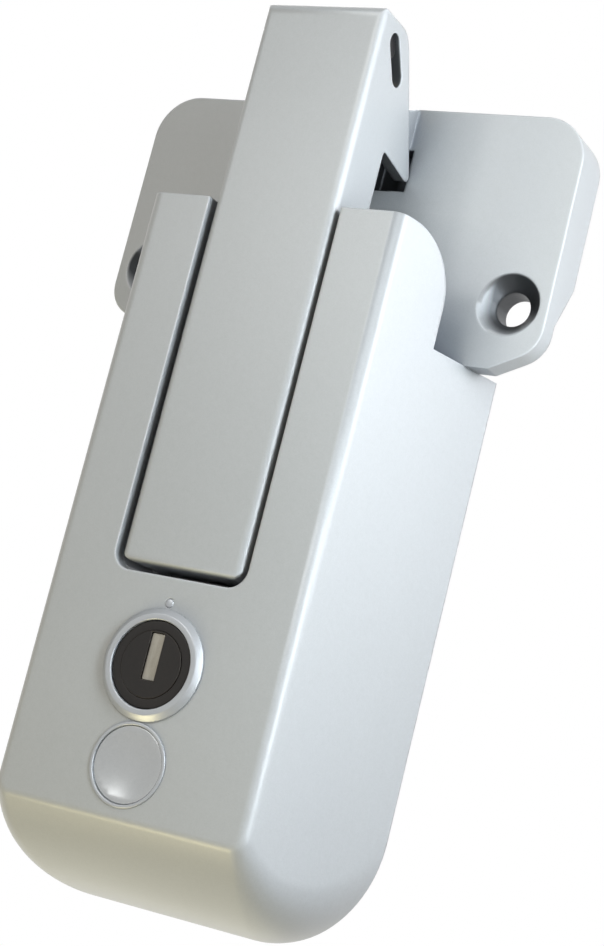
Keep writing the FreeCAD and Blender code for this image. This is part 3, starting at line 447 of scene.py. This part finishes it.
# The sleeve that lines the button's hole, with a thin rim on the front wall.
bezel = {"outer": 8.2, "outerRound": 0.18, "sleeve": 7.9, "bore": 7.5, "boreRound": 0.16, "proud": 0.3,
         "end": 5.0}


def bezelProfile():
    return roundLine([
        (bezel["bore"], bezel["end"], 0), (bezel["sleeve"], bezel["end"], 0), (bezel["sleeve"], 0, 0),
        (bezel["outer"], 0, 0), (bezel["outer"], -bezel["proud"], bezel["outerRound"]),
        (bezel["bore"], -bezel["proud"], bezel["boreRound"]),
    ])


addPiece("buttonBezel", turned("buttonBezel", bezelProfile(), lock["buttonHeight"]),
         "housing", "bright_ring", ["button_bezel"])

# The index dot above the escutcheon: a shallow dome (radius sin a, -proud cos a) on a pin.
dot = {"radius": 0.88, "proud": 0.25, "end": 1.75, "height": -81.9, "steps": 10, "segments": 48}


def dotProfile():
    part = np.linspace(0, math.pi / 2, dot["steps"])
    dome = np.stack([dot["radius"] * np.sin(part), -dot["proud"] * np.cos(part)], -1)
    return np.concatenate([dome, [[dot["radius"], dot["end"]], [0, dot["end"]]]])


addPiece("indexDot", turned("indexDot", dotProfile(), dot["height"], False, dot["segments"]),
         "housing", "bright_ring", ["index_pin"])
print("turned pieces made")

# Screws with a cross recess. The head's face is a disc of points (r, a); the recess lowers it
# where a point lies within the half width of either arm and within the arms' length, with walls
# that fall over a short slope. Behind the face come the rim, the cone or underside, and the shank.
recess = {"halfWidth": 0.24, "slope": 0.16, "arm": 0.62, "depth": 0.34}     # shares of the head's radius
screwGrid = {"rings": 30, "segments": 96, "turnStep": 0.7, "turnSide": 0.35}
coverScrew = {"places": ((27.0, -31.0), (30.0, -80.0), (20.0, -121.0)), "head": 2.7, "face": 36.9,
              "rim": 36.8, "under": 35.6, "shank": 1.25, "end": 27.5, "dome": 0.0, "sunk": True}
smallScrew = {"head": 1.7, "height": 1.1, "rim": 0.55, "shank": 0.8, "dome": 0.28}
smallScrewGroups = {
    "hookScrews": {"node": "hook_screws", "places": ((6.5, -59.5),), "seat": 11.8, "length": 6.0},
    "strapScrews": {"node": "strap_screws", "places": ((14.85, -97.5), (14.85, -90.5)), "seat": 12.9,
                    "length": 4.8},
    "bracketScrews": {"node": "bracket_screws", "places": ((18.2, -113.2),), "seat": 18.0,
                      "length": 6.0},
}


def screwPoints(screw, side, height, turn):
    angle = np.linspace(0, 2 * math.pi, screwGrid["segments"], endpoint=False)[None, :]
    share = np.linspace(0, 1, screwGrid["rings"])[:, None]
    across, along = np.abs(share * np.cos(angle + turn)), np.abs(share * np.sin(angle + turn))
    narrow, long = np.minimum(across, along), np.maximum(across, along)
    inArm = np.clip((recess["halfWidth"] - narrow) / recess["slope"], 0, 1)
    inReach = np.clip((recess["arm"] - long) / recess["slope"], 0, 1)
    sunk = recess["depth"] * screw["head"] * np.minimum(inArm, inReach)
    face = screw["face"] - screw["dome"] * share ** 2 - sunk
    under = [(screw["head"], screw["rim"]), (screw["head"], screw["under"]),
             (screw["shank"], screw["under"]), (screw["shank"], screw["end"]), (0, screw["end"])]
    if screw.get("sunk"):                # a cone runs from the rim to the shank
        under.pop(1)
    radius = np.concatenate([share * screw["head"], np.array(under)[:, :1]])
    depth = np.concatenate([face, np.array(under)[:, 1:] + 0 * angle])
    return toMetres(side + radius * np.cos(angle), depth, height + radius * np.sin(angle))


def screwGroup(name, screw, node):
    grids = []
    for index, (side, height) in enumerate(screw["places"]):
        for sign in (-1, 1):
            turn = screwGrid["turnStep"] * index + screwGrid["turnSide"] * sign
            grids.append(screwPoints(screw, sign * side, height, turn))
    addPiece(name, makeSurface(name, *grids, closeV=True), nodeBody[node], nodeSlot[node], [node])


screwGroup("coverScrews", coverScrew, "cover_screws")
for name, group in smallScrewGroups.items():
    seat = group["seat"]
    screw = {**smallScrew, "places": group["places"], "face": seat + smallScrew["height"],
             "rim": seat + smallScrew["rim"], "under": seat, "end": seat - group["length"]}
    screwGroup(name, screw, group["node"])
print("screws made")


# A block with round corners and a rounded front edge: each ring is a rounded rectangle drawn in
# by its inset; its four quarter arcs are corner centre + radius (cos a, sin a).
def blockPoints(block, side, edgeSteps=6, cornerSteps=7):
    part = np.linspace(0, math.pi / 2, edgeSteps)
    edge, front, back = block["edge"], block["front"], block["back"]
    inset = np.concatenate([[block["corner"]], edge * (1 - np.sin(part)), [0.0, block["corner"]]])
    depth = np.concatenate([[front], front + edge * (1 - np.cos(part)), [back, back]])
    angle = np.linspace(0, math.pi / 2, cornerSteps)[None, :] + np.arange(4)[:, None] * math.pi / 2
    signX = np.sign(np.cos(angle.mean(1)))[:, None] + 0 * angle
    signZ = np.sign(np.sin(angle.mean(1)))[:, None] + 0 * angle
    angle, signX, signZ = angle.ravel(), signX.ravel(), signZ.ravel()
    radius = (block["corner"] - inset)[:, None]
    across = (block["halfWide"] - block["corner"]) * signX + radius * np.cos(angle)
    along = (block["halfHigh"] - block["corner"]) * signZ + radius * np.sin(angle)
    hub = np.zeros_like(across[:1])      # the middle of the front and of the back
    across = np.concatenate([hub, across, hub])
    along = np.concatenate([hub, along, hub])
    depth = np.concatenate([[front], depth, [back]])[:, None]
    return toMetres(side + across, depth, block["height"] + along)


pad = {"halfWide": 1.5, "halfHigh": 7.5, "corner": 1.0, "edge": 0.45, "front": 13.5, "back": 15.2,
       "side": 12.7, "height": -52.5}
bar = {"halfWide": 1.45, "halfHigh": 4.55, "corner": 0.3, "edge": 0.12, "front": -0.65, "back": 0.95,
       "height": -92.5}

pads = [blockPoints(pad, sign * pad["side"]) for sign in (-1, 1)]
addPiece("leverPads", makeSurface("leverPads", *pads, closeV=True), "housing", "rubber", ["lever_pads"])
addPiece("keywayBar", makeSurface("keywayBar", blockPoints(bar, 0), closeV=True),
         nodeBody["keyway_shutter"], "shutter_steel", ["keyway_shutter"])
print("blocks made")

# The button's spring: a wire round a helix, whose turns lie closer at both ends. A point of the
# wire is the helix's point plus the wire's radius times (cos v outwards + sin v across the wire).
spring = {"radius": 2.2, "wire": 0.4, "turns": 5, "start": 20.5, "end": 34.0, "seat": 34.5,
          "closing": 0.7, "travel": 3.94, "steps": 240, "sides": 12}


def springPoints():
    share = np.linspace(0, 1, spring["steps"])[:, None]
    angle = 2 * math.pi * spring["turns"] * share
    depth = share - spring["closing"] * np.sin(2 * math.pi * share) / (2 * math.pi)
    depth = spring["start"] + (spring["end"] - spring["start"]) * depth
    middle = np.concatenate([spring["radius"] * np.cos(angle), depth,
                             spring["radius"] * np.sin(angle)], 1)
    outward = np.concatenate([np.cos(angle), 0 * angle, np.sin(angle)], 1)
    along = np.gradient(middle, axis=0)
    across = np.cross(along / np.linalg.norm(along, axis=1, keepdims=True), outward)
    turn = np.linspace(0, 2 * math.pi, spring["sides"], endpoint=False)[None, :, None]
    rows = np.concatenate([[0], np.arange(len(share)), [len(share) - 1]])
    wire = np.full((len(rows), 1, 1), spring["wire"])
    wire[[0, -1]] = 0                    # the wire's ends are closed at their middles
    points = middle[rows][:, None] + wire * (np.cos(turn) * outward[rows][:, None]
                                             + np.sin(turn) * across[rows][:, None])
    return toMetres(points[..., 0], points[..., 1], points[..., 2] + lock["buttonHeight"])


piece = addPiece("buttonSpring", makeSurface("buttonSpring", springPoints(), closeV=True),
                 "housing", "steel", ["button_spring"])
seat = toMetres(0.0, spring["seat"], lock["buttonHeight"])
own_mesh(piece)
print("spring made")


# A cast piece is a copy of its node's mesh: merged, with flat stretches joined, and with normals
# that are smooth up to the sharp angle.
def copyNode(name, node, mergeBelow=2e-6, flatAngle=0.2, sharpAngle=28.0):
    work = bmesh.new()
    work.from_mesh(frame["nodes"][node].data)
    bmesh.ops.remove_doubles(work, verts=work.verts, dist=mergeBelow)
    bmesh.ops.dissolve_limit(work, angle_limit=math.radians(flatAngle), verts=work.verts,
                             edges=work.edges, use_dissolve_boundaries=False)
    mesh = bpy.data.meshes.new(name)
    work.to_mesh(mesh)
    work.free()
    mesh.shade_smooth()
    mesh.set_sharp_from_angle(angle=math.radians(sharpAngle))
    return mesh


castPieces = {
    "castHousing": "housing", "castWing": "wing_plate", "castLug": "pivot_lug",
    "channelPan": "lever_channel", "barLever": "lever", "rearLid": "back_cover",
    "lockHook": "lock_hook", "pushButton": "push_button",
}
castFinish = {"castWing": "wingPaint", "barLever": "leverPaint"}
for name, node in castPieces.items():
    piece = addPiece(name, copyNode(name, node), nodeBody[node], nodeSlot[node], [node],
                     castFinish.get(name))
    weighted = piece.modifiers.new("evenNormals", "WEIGHTED_NORMAL")
    weighted.keep_sharp = True
print("cast pieces made")

# Stage: a pale floor below the lock, a white surround and soft lamps.
stage = {"floorHeight": -0.80, "floorSize": 3.6, "floorPoints": 3, "floorColour": (0.86, 0.86, 0.84),
         "floorRoughness": 0.7, "floorGlow": 0.6, "glowColour": (1.0, 1.0, 0.99), "cloudScale": 3.0,
         "cloudShade": 0.98, "fadeFrom": 0.9, "fadeTo": 1.7, "worldLight": 0.12}


def seenDirectly(start):                 # 1 for what the camera, a gloss or a glass sees
    seen = start.node("LightPath", {}, {}, "Is Camera Ray")
    mirrored = start.node("LightPath", {}, {}, "Is Glossy Ray")
    through = start.node("LightPath", {}, {}, "Is Transmission Ray")
    return (seen + mirrored + through).held()


def addFloor():
    half = stage["floorSize"] / 2
    span = np.linspace(-half, half, stage["floorPoints"])
    across, along = np.meshgrid(span, span, indexing="ij")
    points = np.stack([across, along, 0 * across + stage["floorHeight"]], -1)
    floor = bpy.data.objects.new("floor", makeSurface("floor", points))
    bpy.context.scene.collection.objects.link(floor)
    material, start = newMaterial("paleFloor")
    place = start.node("TexCoord", {}, {}, "Object")
    cloud = noise(start, place, stage["cloudScale"])
    shade = [stage["cloudShade"] * part for part in stage["floorColour"]]
    colour = cloud.mix(rgba(stage["floorColour"]), rgba(shade))
    shader = start.node("BsdfPrincipled", {}, {
        "Base Color": colour, "Roughness": stage["floorRoughness"]})
    glow = start.node("Emission", {}, {"Color": rgba(stage["glowColour"]), "Strength": 1.0})
    pale = start.node("MixShader", {}, {0: seenDirectly(start) * stage["floorGlow"], 1: shader, 2: glow})
    reach = start.node("VectorMath", {"operation": "LENGTH"}, {0: place}, "Value")
    fade = start.node("MapRange", {"interpolation_type": "SMOOTHSTEP"}, {
        "Value": reach, "From Min": stage["fadeFrom"], "From Max": stage["fadeTo"]})
    clear = start.node("BsdfTransparent")
    faded = start.node("MixShader", {}, {0: fade, 1: pale, 2: clear})
    start.node("OutputMaterial", {}, {"Surface": faded})
    floor.data.materials.append(material)


def setWorld():
    world = bpy.data.worlds.new("studio")
    bpy.context.scene.world = world
    world.use_nodes = True
    world.node_tree.nodes.clear()
    start = Wire(world.node_tree)
    strength = stage["worldLight"] + seenDirectly(start) * (1.0 - stage["worldLight"])
    shader = start.node("Background", {}, {"Color": rgba((1.0, 1.0, 1.0)), "Strength": strength})
    start.node("OutputWorld", {}, {"Surface": shader})


lamps = {
    "keyRight": {"at": (0.35, -0.075, 0.17), "aim": (0.0, -0.02, -0.02), "size": 0.22, "power": 0.14,
                 "colour": (0.66, 0.82, 1.0)},
    "rightBack": {"at": (0.42, 0.05, 0.10), "aim": (0.0, -0.02, -0.04), "size": 0.22, "power": 0.89,
                  "colour": (0.96, 0.95, 1.0)},
    "rightStrip": {"at": (0.15, -0.10, 0.0), "aim": (0.0, -0.03, 0.0), "size": 0.04, "high": 0.24,
                   "power": 0.345, "colour": (0.86, 0.94, 1.0)},
    "frontTop": {"at": (-0.05, -0.50, 0.30), "aim": (0.0, -0.02, -0.04), "size": 0.25, "power": 0.81,
                 "colour": (1.0, 0.97, 0.93)},
    "edgeLight": {"at": (0.54, -0.58, 0.15), "aim": (0.0, -0.02, -0.06), "size": 0.15, "power": 0.20,
                  "colour": (1.0, 1.0, 1.0)},
    "dishLight": {"at": (-0.35, -0.67, 0.22), "aim": (0.0, -0.02, -0.10), "size": 0.12, "power": 0.33,
                  "colour": (1.0, 1.0, 1.0)},
    "bounceBelow": {"at": (-0.12, -0.17, -0.38), "aim": (0.0, -0.02, -0.12), "size": 0.16,
                    "power": 0.46, "colour": (1.0, 0.88, 0.50)},
    "belowBack": {"at": (-0.10, 0.15, -0.36), "aim": (0.0, -0.02, -0.12), "size": 0.30,
                  "power": 0.13, "colour": (1.0, 0.98, 0.80)},
    "behindLeft": {"at": (-0.35, 0.60, 0.25), "aim": (0.0, 0.0, -0.04), "size": 0.35, "power": 3.0,
                   "colour": (1.0, 1.0, 1.0)},
}


def addLamps():
    for name, lamp in lamps.items():
        data = bpy.data.lights.new(name, "AREA")
        data.shape = "RECTANGLE" if "high" in lamp else "DISK"
        data.size = lamp["size"]
        if "high" in lamp:
            data.size_y = lamp["high"]
        data.energy = lamp["power"]
        data.color = lamp["colour"]
        piece = bpy.data.objects.new(name, data)
        piece.location = lamp["at"]
        aim = Vector(lamp["aim"]) - Vector(lamp["at"])
        piece.visible_camera = False
        piece.rotation_euler = aim.to_track_quat("-Z", "Y").to_euler()
        bpy.context.scene.collection.objects.link(piece)


view = {"at": (0.20843055, -0.36841232, -0.11293802), "turn": (100.28093981, -13.98545417, 26.58320979),
        "lens": 79.4535, "sensor": 36.0, "clipStart": 0.01}


def addCamera():
    data = bpy.data.cameras.new("camera")
    data.lens = view["lens"]
    data.sensor_width = view["sensor"]
    data.clip_start = view["clipStart"]
    camera = bpy.data.objects.new("camera", data)
    camera.location = view["at"]
    camera.rotation_euler = Euler([math.radians(part) for part in view["turn"]])
    bpy.context.scene.collection.objects.link(camera)
    bpy.context.scene.camera = camera


addFloor()
setWorld()
addLamps()
addCamera()
bpy.context.scene.view_settings.view_transform = "Standard"
print("stage, lamps and camera made")
